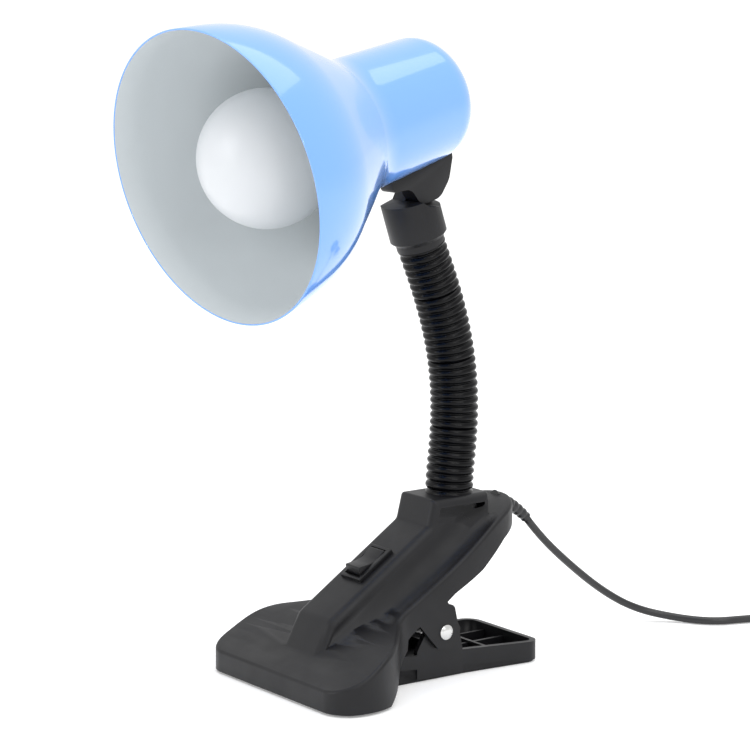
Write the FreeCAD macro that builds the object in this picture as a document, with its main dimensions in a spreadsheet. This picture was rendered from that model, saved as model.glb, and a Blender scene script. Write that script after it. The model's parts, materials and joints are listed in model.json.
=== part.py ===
"""Clip-on reading lamp: spring clip with switch housing, flexible neck, tilting bell shade and LED bulb.

Millimetres, +Z up. The origin lies on the flat underside of the lower clip half, on its middle plane.
X runs across the clip, -Y points to the jaw and +Y to the handles. The head turns about its own axis
frame: head Z runs from the mouth of the shade to its closed end and head Y points down.
"""
import FreeCAD, Part
import math
import os
import re
import Sketcher
from FreeCAD import Placement, Rotation, Vector

SIZES = [
    # clip, upper half
    ("jaw_front", 65.2, "jaw front edge, ahead of the origin"),
    ("jaw_half_width", 53.8, "widest half width of the jaw"),
    ("handle_half_width", 26.0, "half width of both handles"),
    ("handle_end", 64.0, "rear end of the upper handle"),
    ("clip_wall", 2.2, "wall of both clip halves"),
    ("skirt_gap", 1.0, "lowest edge of the upper skirt above the table"),
    # switch housing on the upper half
    ("housing_half_width", 14.0, "half width of the raised housing"),
    ("housing_incline", 33.5, "slope of the housing top in degrees"),
    ("housing_top", 45.4, "housing top height at the front edge of the switch"),
    ("boss_top", 79.2, "height of the flat boss that carries the neck"),
    ("boss_front", 15.0, "front of the neck boss"),
    ("boss_rear", 47.0, "rear of the neck boss"),
    # switch
    ("switch_front", -21.3, "front edge of the switch bezel"),
    ("bezel_length", 21.0, "rocker switch bezel length"),
    ("bezel_width", 15.0, "rocker switch bezel width"),
    ("bezel_height", 2.0, "rocker switch bezel height"),
    ("rocker_length", 17.0, "rocker length"),
    ("rocker_width", 10.4, "rocker width"),
    ("rocker_travel", 20.0, "rocker turn from one seat to the other in degrees"),
    # hinge
    ("pivot_y", 12.1, "clip hinge line, from the origin"),
    ("pivot_z", 21.7, "clip hinge line above the table"),
    ("pin_radius", 2.5, "clip hinge pin"),
    ("pin_clearance", 0.06, "radial play of running pins"),
    ("spring_wire", 1.8, "torsion spring wire"),
    ("spring_turns", 6.0, "torsion spring turns"),
    # clip, lower half
    ("tray_end", 67.0, "rear end of the lower handle"),
    ("tray_front_height", 12.7, "lower handle height beside the hinge"),
    ("tray_rear_height", 9.5, "lower handle height at its end"),
    ("sole_inset", 1.0, "inset of the sole under the tray"),
    ("pad_thickness", 2.4, "rubber jaw pads"),
    # neck
    ("neck_y", 33.3, "neck foot"),
    ("first_joint", 85.0, "first neck joint above the table"),
    ("link_pitch", 16.0, "distance between neck joints"),
    ("hose_radius", 11.0, "outside radius of the neck"),
    ("ball_radius", 7.5, "ball of each neck link"),
    ("ball_clearance", 0.3, "gap between ball and socket"),
    ("socket_lip", 0.8, "socket rim past the ball centre"),
    ("link_gap", 4.5, "free height between neighbouring links"),
    ("wire_bore", 2.6, "bore for the lead through the neck"),
    # collar and knuckle
    ("nipple_radius", 5.0, "threaded nipple of the neck foot"),
    ("collar_radius", 13.0, "collar at the top of the neck"),
    ("collar_length", 24.0, "collar length"),
    ("knuckle_radius", 12.2, "both knuckle discs"),
    ("knuckle_disc", 8.0, "thickness of each knuckle disc"),
    ("knuckle_gap", 0.2, "gap between the knuckle discs"),
    ("knuckle_bolt_radius", 2.5, "knuckle bolt"),
    ("knuckle_station", 111.5, "knuckle behind the mouth of the shade"),
    ("knuckle_drop", 37.0, "knuckle below the head axis"),
    # head
    ("head_yaw", 7.2, "head turned to the side in degrees"),
    ("head_dip", 12.4, "head pointing below level in degrees"),
    ("mouth_radius", 64.8, "mouth of the shade"),
    ("bell_depth", 77.5, "mouth to neck of the shade"),
    ("barrel_radius", 30.0, "shade barrel at its neck"),
    ("barrel_end_radius", 27.4, "shade barrel at its closed end"),
    ("shade_length", 133.5, "whole shade"),
    ("shade_end_round", 13.6, "rounding of the closed end of the shade"),
    ("shade_wall", 0.8, "shade wall"),
    # bulb and lampholder
    ("bulb_radius", 30.0, "bulb globe"),
    ("bulb_station", 29.8, "globe centre behind the mouth"),
    ("bulb_length", 108.0, "whole bulb"),
    ("cap_radius", 13.1, "bulb screw cap over its thread"),
    ("cap_length", 23.0, "bulb screw cap length"),
    ("cap_clearance", 0.25, "play between cap and threaded sleeve"),
    ("holder_wall", 3.2, "lampholder wall outside the sleeve"),
    # supply cord
    ("cord_radius", 1.8, "supply cord"),
    ("coil_radius", 20.0, "middle of the stored coil's turns"),
    ("coil_layers", 4.0, "turns of the stored coil lying on each other"),
    ("coil_columns", 3.0, "turns of the stored coil side by side"),
    ("plug_thickness", 13.0, "plug body thickness"),
    ("plug_pin_radius", 2.0, "plug pins"),
    ("plug_pin_spacing", 19.0, "plug pins, middle to middle"),
]

doc = FreeCAD.newDocument("clip_on_reading_lamp")
sheet = doc.addObject("Spreadsheet::Sheet", "Sizes")
for row, (alias, number, note) in enumerate(SIZES, 1):
    sheet.set(f"A{row}", note)
    sheet.set(f"B{row}", str(number))
    sheet.setAlias(f"B{row}", alias)
doc.recompute()

X_AXIS, Y_AXIS, Z_AXIS = Vector(1, 0, 0), Vector(0, 1, 0), Vector(0, 0, 1)
FUNCTIONS = ("sin", "cos", "tan", "sqrt")
parts = []


def bound(expression):
    """An expression in the sheet's names, written so that any object can be bound to it."""
    return re.sub(r"[a-z][a-z_]+", lambda m: m[0] if m[0] in FUNCTIONS else f"Sizes.{m[0]}", str(expression))


def size(expression):
    """The present value of an expression in the sheet's names."""
    return float(sheet.evalExpression(bound(expression)))


def keep(item, label, placement=None):
    """Names an object as a sub-part, places it and puts it on the list of parts to write."""
    item.Label = label
    if placement:
        item.Placement = placement
    parts.append(item)
    return item


def shown(label, shape, placement=None):
    """A sub-part whose shape comes from Part's own functions."""
    item = doc.addObject("Part::Feature", label)
    item.Shape = shape
    return keep(item, label, placement)


def sketch_on(body, plane, corners, name):
    """A closed polygon on one of the body's own planes, each corner bound to the sheet."""
    sketch = body.newObject("Sketcher::SketchObject", name)
    base = next(p for p in body.Origin.OriginFeatures if p.Role == plane)
    sketch.AttachmentSupport = (base, [""])
    sketch.MapMode = "FlatFace"
    points = [Vector(size(u), size(v), 0) for u, v in corners]
    count = len(points)
    for i in range(count):
        sketch.addGeometry(Part.LineSegment(points[i], points[(i + 1) % count]))
    for i in range(count):
        sketch.addConstraint(Sketcher.Constraint("Coincident", i, 2, (i + 1) % count, 1))
    for i, corner in enumerate(corners):
        for kind, axis, expression in (("DistanceX", -2, corner[0]), ("DistanceY", -1, corner[1])):
            if str(expression) == "0":
                sketch.addConstraint(Sketcher.Constraint("PointOnObject", i, 1, axis))
            else:
                place = Sketcher.Constraint(kind, -1, 1, i, 1, size(expression))
                index = sketch.addConstraint(place)
                sketch.setExpression(f"Constraints[{index}]", bound(expression))
    return sketch


def turned(label, corners, placement=None):
    """A body turned about its own Z from a half section of (radius, height) corners."""
    body = doc.addObject("PartDesign::Body", label)
    sketch = sketch_on(body, "XZ_Plane", corners, f"{label}_section")
    turn = body.newObject("PartDesign::Revolution", f"{label}_turn")
    turn.Profile = sketch
    turn.ReferenceAxis = (sketch, ["V_Axis"])
    turn.Angle = 360
    return keep(body, label, placement)


def padded(label, plane, corners, length, placement=None):
    """A body made by padding an outline evenly to both sides of one of its own planes."""
    body = doc.addObject("PartDesign::Body", label)
    sketch = sketch_on(body, plane, corners, f"{label}_outline")
    pad = body.newObject("PartDesign::Pad", f"{label}_pad")
    pad.Profile = sketch
    pad.setExpression("Length", bound(length))
    pad.Midplane = True
    return keep(body, label, placement)


def box_corners(low_u, high_u, low_v, high_v):
    return [(low_u, low_v), (high_u, low_v), (high_u, high_v), (low_u, high_v)]


def rod(radius, length, start, direction):
    """A plain cylinder for code-built shapes."""
    return Part.makeCylinder(radius, length, start, direction)


def fitted(corners):
    """The corners with their radii cut back wherever two arcs would share more than their straight run."""
    flat = [Vector(u, v, 0) for u, v, _ in corners]
    count = len(flat)
    slack, runs = [], []
    for i, here in enumerate(flat):
        back, ahead = flat[i - 1] - here, flat[(i + 1) % count] - here
        slack.append(corners[i][2] / math.tan(back.getAngle(ahead) / 2))
        runs.append(ahead.Length)
    result = []
    for i, (u, v, radius) in enumerate(corners):
        wanted = [(slack[i - 1] + slack[i]) / runs[i - 1], (slack[i] + slack[(i + 1) % count]) / runs[i]]
        result.append((u, v, radius * min(1.0, 0.99 / max(wanted)) if radius else 0))
    return result


def rounded(corners, place):
    """A closed wire of straight runs and tangent arcs from (u, v, radius) corners."""
    corners = fitted(corners)
    flat = [Vector(u, v, 0) for u, v, _ in corners]
    stops = []
    for i, here in enumerate(flat):
        back = (flat[i - 1] - here).normalize()
        ahead = (flat[(i + 1) % len(flat)] - here).normalize()
        radius = corners[i][2]
        half = back.getAngle(ahead) / 2
        if radius:
            middle = (back + ahead).normalize() * (radius / math.sin(half) - radius)
            reach = radius / math.tan(half)
            stops.append((here + back * reach, here + middle, here + ahead * reach))
        else:
            stops.append((here, here, here))
    edges = []
    for i, (start, middle, end) in enumerate(stops):
        if (end - start).Length > 1e-6:
            arc = [place(p) for p in (start, middle, end)]
            edges.append(Part.Arc(*arc).toShape())
        after = stops[(i + 1) % len(stops)][0]
        if (after - end).Length > 1e-6:
            edges.append(Part.makeLine(place(end), place(after)))
    return Part.Wire(edges)


def mirrored(half):
    """A whole outline from its +X half, which runs from the middle line round to it again."""
    return half + [(-u, v, r) for u, v, r in reversed(half) if abs(u) > 1e-9]


def across(corners, half_width):
    """A solid with a (Y, Z) side view that is evenly half_width to each side of the middle plane."""
    wire = rounded(corners, lambda p: Vector(-half_width, p.x, p.y))
    return Part.Face(wire).extrude(Vector(2 * half_width, 0, 0))


def upright(corners, low, high, inset=0.0):
    """A solid with an (X, Y) plan outline between two heights, its outline drawn in by inset."""
    wire = rounded(corners, lambda p: Vector(p.x, p.y, low))
    if inset:
        wire = wire.makeOffset2D(-inset)
    return Part.Face(wire).extrude(Vector(0, 0, high - low))


def softened(shape, radius, wanted):
    """Rounds the edges of a shape that wanted() picks."""
    edges = [e for e in shape.Edges if wanted(e)]
    return shape.makeFillet(radius, edges) if edges else shape


wall = size("clip_wall")
pivot = Vector(0, size("pivot_y"), size("pivot_z"))
pin_radius = size("pin_radius")
handle = size("handle_half_width")
housing = size("housing_half_width")
slope = math.radians(size("housing_incline"))


def deck_line(drop=0.0):
    """The upper deck's side view as (Y, Z) points from the jaw front to the handle end."""
    shift = 0.62 * drop
    front, end = -size("jaw_front"), size("handle_end")
    shape = [(front - 3, 9.6), (front + 5, 12.6), (front + 16, 17.6), (-40, 22.9), (-30, 26.9), (-20, 29.8),
             (-10, 34.2), (0, 40.0), (14, 48.6), (32, 60.9), (45, 68.6), (end - 5, 74.2), (end + 3, 76.6)]
    return [Vector(0, y + shift, z - drop) for y, z in shape]


def under_deck(drop, bottom):
    """Everything below the deck line, lowered by drop, down to the given (Y, Z) points."""
    top = Part.BSplineCurve()
    top.interpolate(deck_line(drop))
    first, last = top.StartPoint, top.EndPoint
    lower = [last] + [Vector(0, y, z) for y, z in bottom] + [first]
    edges = [top.toShape()] + [Part.makeLine(a, b) for a, b in zip(lower, lower[1:])]
    face = Part.Face(Part.Wire(edges))
    face.translate(Vector(-80, 0, 0))
    return face.extrude(Vector(160, 0, 0))


def upper_plan():
    """Plan outline of the upper half: wide bulging jaw, then the narrower handle with a round end."""
    front, wide, end = size("jaw_front"), size("jaw_half_width"), size("handle_end")
    return mirrored([(wide - 1.95, -front, 13.5), (wide + 2.0, 28 - front, 29), (handle, -13, 14),
                     (handle, end - 27, 70), (14.3, end, 21.5)])


def skirt_bottom():
    """Lower edge of the upper skirt, from the handle end to the jaw front."""
    end, low = size("handle_end"), size("skirt_gap")
    return [(end + 3, 67.5), (49, 58.6), (33.5, 47.0), (17.4, 38.6), (10.7, 33.7), (-3.5, 25.6),
            (-9.0, 21.3), (-9.5, 16.5), (-15.5, 10.5), (-27, 7.5), (-36, low), (-70, low)]


def housing_line(inset=0.0):
    """Side view of the raised housing and neck boss as (Y, Z, radius) corners."""
    start, top = size("switch_front"), size("housing_top") - inset / math.cos(slope)
    front, rear, boss = size("boss_front") + inset, size("boss_rear") - inset, size("boss_top") - inset

    def on_top(y):
        return top + (y - start) * math.tan(slope)

    nose = start - 20.5 + inset
    return [(nose - 10, 12.5 + inset, 0), (nose, on_top(nose), 9), (front - 3, on_top(front - 3), 3),
            (front, boss, 1.2), (rear, boss, 1.2), (rear, 62, 0), (-5, 31, 0), (-38, 15, 0)]


def slope_place(y, lift):
    """A frame on the housing top: Y up the slope, Z out of it."""
    z = size("housing_top") + (y - size("switch_front")) * math.tan(slope)
    normal = Vector(0, -math.sin(slope), math.cos(slope))
    turn = Rotation(X_AXIS, math.degrees(slope))
    return Placement(Vector(0, y, z) + normal * lift, turn)


def ear_plate(corners, inner, outer):
    """A pair of plates with a (Y, Z) outline between two distances from the middle plane."""
    pair = []
    for side in (-1, 1):
        start = inner if side > 0 else -outer
        wire = rounded(corners, lambda p: Vector(start, p.x, p.y))
        pair.append(Part.Face(wire).extrude(Vector(outer - inner, 0, 0)))
    return pair


def pin_hole(radius, half_length):
    return rod(radius, 2 * half_length, pivot - X_AXIS * half_length, X_AXIS)


COVER_DEPTH = 22.0
COVER_THICKNESS = 1.6
SCREW_SPOTS = [(-14.6, -26.0), (14.6, -26.0), (-14.6, 27.0), (14.6, 27.0)]


def boss_foot(x, y):
    """Point on the underside cover that lies square below a spot on the housing top."""
    frame = slope_place(size("switch_front"), 0)
    return frame.multVec(Vector(x, (y - size("switch_front")) / math.cos(slope), -COVER_DEPTH))


def slope_normal():
    return Vector(0, -math.sin(slope), math.cos(slope))


def upper_shell():
    """Upper clip half: hollow jaw, handle, housing and neck boss in one moulding with two outer ears."""
    deck = under_deck(0, skirt_bottom()).common(upright(upper_plan(), -5, 100))
    deck = softened(deck, 1.8, lambda e: e.BoundBox.ZMin > 8 and on_deck_rim(e))
    raised = softened(across(housing_line(), housing), 4.0, lambda e: is_long_edge(e, housing))
    hollow = under_deck(wall, [(70, -20), (-75, -20)]).common(upright(upper_plan(), -20, 100, wall))
    inside = across(housing_line(wall), housing - wall)
    shell = deck.fuse(raised).cut(hollow.fuse(inside))
    ribs = [Part.makeBox(wall, 24, 40, Vector(x - wall / 2, -size("jaw_front") + 8, JAW_PLATE + GRIP))
            for x in (-34, -17, 0, 17, 34)]
    mid_wall = under_deck(wall / 2, [(70, -20), (-75, -20)])
    ribs = [rib.common(mid_wall) for rib in ribs]
    ears = [(-2.6, 26.6, 0), (8.1, 14.2, 2), (18.9, 13.3, 2), (20.2, 22.7, 2), (12.5, 36.5, 0)]
    bosses = []
    for x, y in SCREW_SPOTS:
        foot = boss_foot(x, y)
        post = rod(2.6, 9, foot, slope_normal()).common(mid_wall)
        bosses.append(post.cut(rod(1.2, 4, foot, slope_normal())))
    shell = shell.multiFuse(ribs + ear_plate(ears, handle - wall, handle) + bosses)
    window = Part.makeBox(13.2, 19.2, 12, Vector(-6.6, 0.9, -6))
    window.Placement = slope_place(size("switch_front"), 0)
    nipple = rod(size("nipple_radius"), 12, Vector(0, size("neck_y"), size("boss_top") - 8), Z_AXIS)
    return shell.cut(pin_hole(pin_radius, 40)).cut(window).cut(nipple).cut(relief_hole())


def on_deck_rim(edge):
    """Edges where the deck meets the side walls."""
    middle = edge.valueAt((edge.FirstParameter + edge.LastParameter) / 2)
    deck = Part.BSplineCurve()
    deck.interpolate(deck_line())
    return deck.toShape().distToShape(Part.Vertex(0, middle.y, middle.z))[0] < 0.05


def is_long_edge(edge, half_width):
    """Edges of the raised housing along its upper sides."""
    box = edge.BoundBox
    on_side = abs(abs(box.XMin) - half_width) < 1e-3 and box.XLength < 1e-3
    return on_side and box.Center.z > 26 and box.Center.y < 16.5 and box.DiagonalLength > 2


# Jaw pads: rubber strips on the lower jaw plate and under the ribs of the upper jaw.
JAW_PLATE = 6.0
GRIP = 2 * size("pad_thickness") + 0.3


def jaw_pads():
    pad = size("pad_thickness")
    front = -size("jaw_front") + 10
    for label, low in (("lower_jaw_pad", JAW_PLATE), ("upper_jaw_pad", JAW_PLATE + GRIP - pad)):
        outline = box_corners(-38, 38, front, front + 15)
        body = padded(label, "XY_Plane", outline, "pad_thickness", Placement(Vector(0, 0, low + pad / 2), Rotation()))
        round_corners(body, 4)


def round_corners(body, radius):
    """Rounds the upright corner edges of a padded body."""
    doc.recompute()
    fillet = body.newObject("PartDesign::Fillet", f"{body.Name}_corners")
    tip = [f for f in body.Group if f.isDerivedFrom("PartDesign::Pad")][-1]
    edges = [f"Edge{i}" for i, e in enumerate(tip.Shape.Edges, 1)
             if abs(abs(e.tangentAt(e.FirstParameter).z) - 1) < 1e-6]
    fillet.Base = (tip, edges)
    fillet.Radius = radius


def tray_plan():
    end = size("tray_end")
    return mirrored([(tray_half, -32, 0), (tray_half, 24, 30), (handle + 0.8, end, 7)])


tray_half = handle - wall - 0.4


def tray_top(y):
    """Height of the lower handle's rim."""
    front, rear = size("tray_front_height"), size("tray_rear_height")
    return front + (rear - front) * (y + 5) / (size("tray_end") + 5)


def lower_shell():
    """Lower clip half: flat-bottomed jaw plate, open-topped handle tray with ribs, and two inner ears."""
    end, jaw_inset = size("tray_end"), wall + 1.0
    front = -size("jaw_front") + jaw_inset + 0.6
    jaw_side = [(front, 0, 1.5), (-14, 0, 0), (-14, 16.5, 1.5), (front + 24, JAW_PLATE, 8), (front, JAW_PLATE, 1)]
    jaw = upright(upper_plan(), -5, 40, jaw_inset).common(across(jaw_side, 80))
    band_side = [(-20, 7.5, 0), (-20, tray_top(-20), 0), (end + 2, tray_top(end + 2), 0), (end + 2, 0.5, 0)]
    band = upright(tray_plan(), 0, 30).common(across(band_side, 80))
    sole_side = [(-30, 0, 0), (end + 2, 0, 0), (end + 2, 0.7, 0), (-20, 8, 0), (-30, 8, 0)]
    sole = upright(tray_plan(), 0, 30, size("sole_inset")).common(across(sole_side, 80))
    outer = jaw.fuse(band).fuse(sole)
    jaw_room_side = [(front + 24, wall, 0), (-14 - wall, wall, 0), (-14 - wall, 40, 0), (front + 24, 40, 0)]
    jaw_room = upright(upper_plan(), 0, 40, jaw_inset + wall).common(across(jaw_room_side, 80))
    room = upright(tray_plan(), wall, 40, wall + size("sole_inset") / 2)
    room = room.common(across([(-14, wall, 0), (end, wall, 0), (end, 40, 0), (-14, 40, 0)], 80))
    shell = outer.cut(jaw_room.fuse(room))
    ribs = [Part.makeBox(1.6, end - 30, 5.5, Vector(x - 0.8, 28, 1)) for x in (-14, 0, 14)]
    ribs += [Part.makeBox(2 * tray_half - 1, 1.6, 6.5, Vector(0.5 - tray_half, y, 1)) for y in (27, 44)]
    ribs += [Part.makeBox(1.6, 26, 7, Vector(x - 0.8, -38, 1)) for x in (-30, -15, 0, 15, 30)]
    ribs = [rib.common(outer.fuse(room)) for rib in ribs]
    ears = [(-2, 1, 0), (-2, 14, 2), (9.5, 33.2, 2), (18.8, 33.2, 3), (23.5, 12, 0), (23.5, 1, 0)]
    inner = tray_half - 2.6
    shell = shell.multiFuse(ribs + ear_plate(ears, inner, tray_half))
    return shell.cut(pin_hole(pin_radius + size("pin_clearance"), 40))


def torsion_spring():
    """Wire coil round the hinge pin, with one leg under the upper handle and one on the lower handle."""
    wire, turns = size("spring_wire"), size("spring_turns")
    pitch, radius = wire + 0.25, pin_radius + 0.9 + wire / 2
    width = pitch * turns
    helix = Part.makeHelix(pitch, width, radius)
    section = Part.Wire(Part.makeCircle(wire / 2, Vector(radius, 0, 0), Y_AXIS))
    coil = Part.Wire(helix).makePipeShell([section], True, True)
    coil.Placement = Placement(pivot - X_AXIS * (width / 2), Rotation(Z_AXIS, X_AXIS))
    legs = []
    for x, tip in ((-width / 2, Vector(0, 40, 4.6)), (width / 2, Vector(0, 33, 43))):
        flat = Vector(0, pivot.y, pivot.z)
        reach = (tip - flat).Length
        lean = math.asin(radius / reach)
        side = 1 if x < 0 else -1
        ahead = Rotation(X_AXIS, math.degrees(side * lean)).multVec(tip - flat).normalize()
        off = Rotation(X_AXIS, -90 * side).multVec(ahead) * radius
        start = flat + off + X_AXIS * x
        legs.append(rod(wire / 2, reach * math.cos(lean), start, ahead))
        legs.append(Part.makeSphere(wire / 2, start))
    return coil, legs


def hinge_pin():
    """Rivet through all four ears, with a domed head outside each upper ear."""
    head, side = "pin_radius + 0.9", "handle_half_width"
    corners = [(0, f"-{side} - 1.3"), ("pin_radius - 0.4", f"-{side} - 1.3"), (head, f"-{side} - 0.6"),
               (head, f"-{side}"), ("pin_radius", f"-{side}"), ("pin_radius", side), (head, side),
               (head, f"{side} + 0.6"), ("pin_radius - 0.4", f"{side} + 1.3"), (0, f"{side} + 1.3")]
    turned("hinge_pin", corners, Placement(pivot, Rotation(Y_AXIS, 90)))


def housing_cover():
    """Flat plate that closes the housing from below, with its four screws."""
    frame = slope_place(size("switch_front"), 0)
    low = -COVER_DEPTH - COVER_THICKNESS
    plate = Part.makeBox(35, 76, COVER_THICKNESS, Vector(-17.5, -16, low))
    plate.Placement = frame
    screws = []
    for x, y in SCREW_SPOTS:
        foot = boss_foot(x, y)
        plate = plate.cut(rod(1.5, 8, foot - slope_normal() * 4, slope_normal()))
        below = foot - slope_normal() * (COVER_THICKNESS + 1.4)
        screw = rod(2.6, 1.4, below, slope_normal()).fuse(rod(1.2, 5.8, below, slope_normal()))
        screws.append(screw.cut(Part.makeBox(6, 0.7, 0.7, below - Vector(3, 0.35, 0.1))))
    shown("housing_cover", plate)
    shown("cover_screws", Part.makeCompound(screws))


def rocker_switch():
    """Snap-in rocker switch: moulded body with bezel, rocker on stub axles, and two terminals."""
    frame = slope_place(size("switch_front"), 0)
    long, broad, tall = size("bezel_length"), size("bezel_width"), size("bezel_height")
    middle, axle = long / 2, -1.0
    slot_half, slot = size("rocker_length") / 2 + 0.5, size("rocker_width") / 2 + 0.2
    bezel = Part.makeBox(broad, long, tall, Vector(-broad / 2, 0, 0))
    rim = [e for e in bezel.Edges if e.BoundBox.ZMin > tall - 0.01]
    bezel = bezel.makeFillet(0.5, rim)
    box = Part.makeBox(13, 19, 12, Vector(-6.5, 1, -12))
    pocket = Part.makeBox(2 * slot, 2 * slot_half, 20, Vector(-slot, middle - slot_half, -9))
    body = bezel.fuse(box).cut(pocket)
    body = body.cut(rod(1.05, 12.4, Vector(-6.2, middle, axle), X_AXIS))
    body.Placement = frame
    shown("switch_body", body)
    blades = [Part.makeBox(4.8, 0.8, 6, Vector(-2.4, y, -18)) for y in (4.5, middle, 16)]
    for blade in blades:
        blade.Placement = frame
    shown("switch_terminals", Part.makeCompound(blades))
    half, width = size("rocker_length") / 2, size("rocker_width")
    line = [(0.6 - half, 5.0, 0.8), (-1.5, 3.2, 9), (1.5, 3.2, 9), (half - 0.6, 5.0, 0.8), (half - 0.2, -1.5, 1),
            (3.5, -5.5, 2), (-3.5, -5.5, 2), (0.2 - half, -1.5, 1)]
    rocker = across([(u, v, r) for u, v, r in line], width / 2)
    rocker = rocker.fuse(rod(1.0, 12.2, Vector(-6.1, 0, 0), X_AXIS))
    seat = frame.multVec(Vector(0, middle, axle))
    lean = Rotation(X_AXIS, math.degrees(slope) - size("rocker_travel") / 2)
    shown("switch_rocker", rocker, Placement(seat, lean))


# Supply cord: control points of its route from the handle end to the stored coil.
CORD_ROUTE = [(0, 78.2, 60.75), (-1.0, 86.5, 51.5), (-2.5, 103.0, 37.0), (-5.5, 128.0, 18.2), (-3.5, 148.0, 6.2),
              (9.0, 164.0, 1.8), (25.0, 173.5, 1.8), (30.5, 192.0, 1.8), (40.0, 212.0, 1.8), (58.0, 226.0, 1.8),
              (78.0, 232.0, 1.8)]


def relief_points():
    """Start, middle and end of the bent strain relief at the end of the upper handle."""
    return Vector(0, size("handle_end") - 5, 72.9), Vector(0, 68.5, 69.0), Vector(0, 78.0, 61.0)


def bent_cone(start_radius, end_radius, points):
    """A taper that follows the arc through three points."""
    arc = Part.Arc(*points).toShape()
    first = Part.Wire(Part.makeCircle(start_radius, points[0], arc.tangentAt(arc.FirstParameter)))
    last = Part.Wire(Part.makeCircle(end_radius, points[2], arc.tangentAt(arc.LastParameter)))
    return Part.Wire(arc).makePipeShell([first, last], True, False)


def relief_hole():
    start, middle, end = relief_points()
    return bent_cone(3.4, 2.4, (start, middle, end))


def strain_relief():
    shown("strain_relief", bent_cone(3.4, 2.4, relief_points()))


def rounded_route(points):
    """Straight runs joined by tangent arcs, each as large as its two runs allow."""
    points = [Vector(*p) for p in points]
    edges, start = [], points[0]
    for before, here, after in zip(points, points[1:], points[2:]):
        back, ahead = before - here, after - here
        half = back.getAngle(ahead) / 2
        reach = 0.45 * min(back.Length, ahead.Length)
        radius = reach * math.tan(half)
        back.normalize()
        ahead.normalize()
        middle = here + (back + ahead).normalize() * (radius / math.sin(half) - radius)
        edges.append(Part.makeLine(start, here + back * reach))
        edges.append(Part.Arc(here + back * reach, middle, here + ahead * reach).toShape())
        start = here + ahead * reach
        print(f"cord bend radius {radius:.1f}")
    edges.append(Part.makeLine(start, points[-1]))
    return Part.Wire(edges)


def supply_cord():
    """Free run of the cord, its stored coil, and the plug that lies beside the coil."""
    radius, middle = size("cord_radius"), size("coil_radius")
    route = rounded_route(CORD_ROUTE)
    start = Vector(*CORD_ROUTE[0])
    ahead = route.Edges[0].tangentAt(route.Edges[0].FirstParameter)
    section = Part.Wire(Part.makeCircle(radius, start, ahead))
    tube = route.makePipeShell([section], True, False)
    print(f"cord tube volume {tube.Volume:.0f}, section times length {math.pi * radius ** 2 * route.Length:.0f}")
    shown("cord_tube", tube)
    high = 2 * radius * size("coil_layers")
    half_band = radius * size("coil_columns")
    outer_turn, end = middle + half_band - radius, Vector(*CORD_ROUTE[-1])
    heading = (end - Vector(*CORD_ROUTE[-2])).normalize()
    entry = math.sqrt((middle + half_band) ** 2 - (outer_turn - radius) ** 2) + 0.2
    side = Vector(-heading.y, heading.x, 0)
    centre = end + heading * entry + side * outer_turn
    centre.z = 0
    ring = rod(middle + half_band, high, centre, Z_AXIS).cut(rod(middle - half_band, high, centre, Z_AXIS))
    shown("cord_coil", ring)
    plug(centre + side * outer_turn - heading * 30, heading * -1)


def plug(foot, ahead):
    """Two-pin plug lying on the table, its cord end at the given foot."""
    half_height, thick = 6.5, "plug_thickness"
    turn = Rotation(Z_AXIS, math.degrees(math.atan2(ahead.y, ahead.x)))
    place = Placement(foot + Z_AXIS * half_height, turn)
    outline = [(0, -4), (9, -4.6), (20, -13), (33, -13), (33, 13), (20, 13), (9, 4.6), (0, 4)]
    body = padded("plug_body", "XY_Plane", outline, thick, place)
    round_corners(body, 2)
    spacing = size("plug_pin_spacing") / 2
    pins = [rod(size("plug_pin_radius"), 19, Vector(33, y, 0), X_AXIS) for y in (-spacing, spacing)]
    shown("plug_pins", Part.makeCompound(pins), place)


# Flexible neck: joints from the boss to the collar, as headings of each link from upright.
HEADINGS = [0.0, 7.0, 3.5, -3.0, -9.5, -15.5, -20.0, -23.0]
COLLAR_HEADING = -18.0


def neck_joints():
    """Centres of the eight neck joints with the heading of the piece above each."""
    place = Vector(0, size("neck_y"), size("first_joint"))
    joints = []
    for heading in HEADINGS[1:] + [COLLAR_HEADING]:
        joints.append((place, heading))
        turn = math.radians(heading)
        place = place + Vector(0, math.sin(turn), math.cos(turn)) * size("link_pitch")
    return joints


def upright_frame(place, heading):
    return Placement(place, Rotation(X_AXIS, -heading))


def socket_piece(length, ball_on_top=True):
    """A neck link: socket at its foot round Z 0, and a ball on a short stem at its head."""
    outside, ball, lip = size("hose_radius"), size("ball_radius"), size("socket_lip")
    crest = length - size("link_gap") - lip
    piece = rod(outside, crest + lip, Vector(0, 0, -lip), Z_AXIS)
    piece = piece.cut(Part.makeSphere(ball + size("ball_clearance")))
    stem = rod(ball * 0.8, length - crest, Vector(0, 0, crest), Z_AXIS)
    return piece.fuse(stem).fuse(Part.makeSphere(ball, Vector(0, 0, length)))


def bore(length, radius):
    return rod(radius, length, Vector(0, 0, -20), Z_AXIS)


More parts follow.
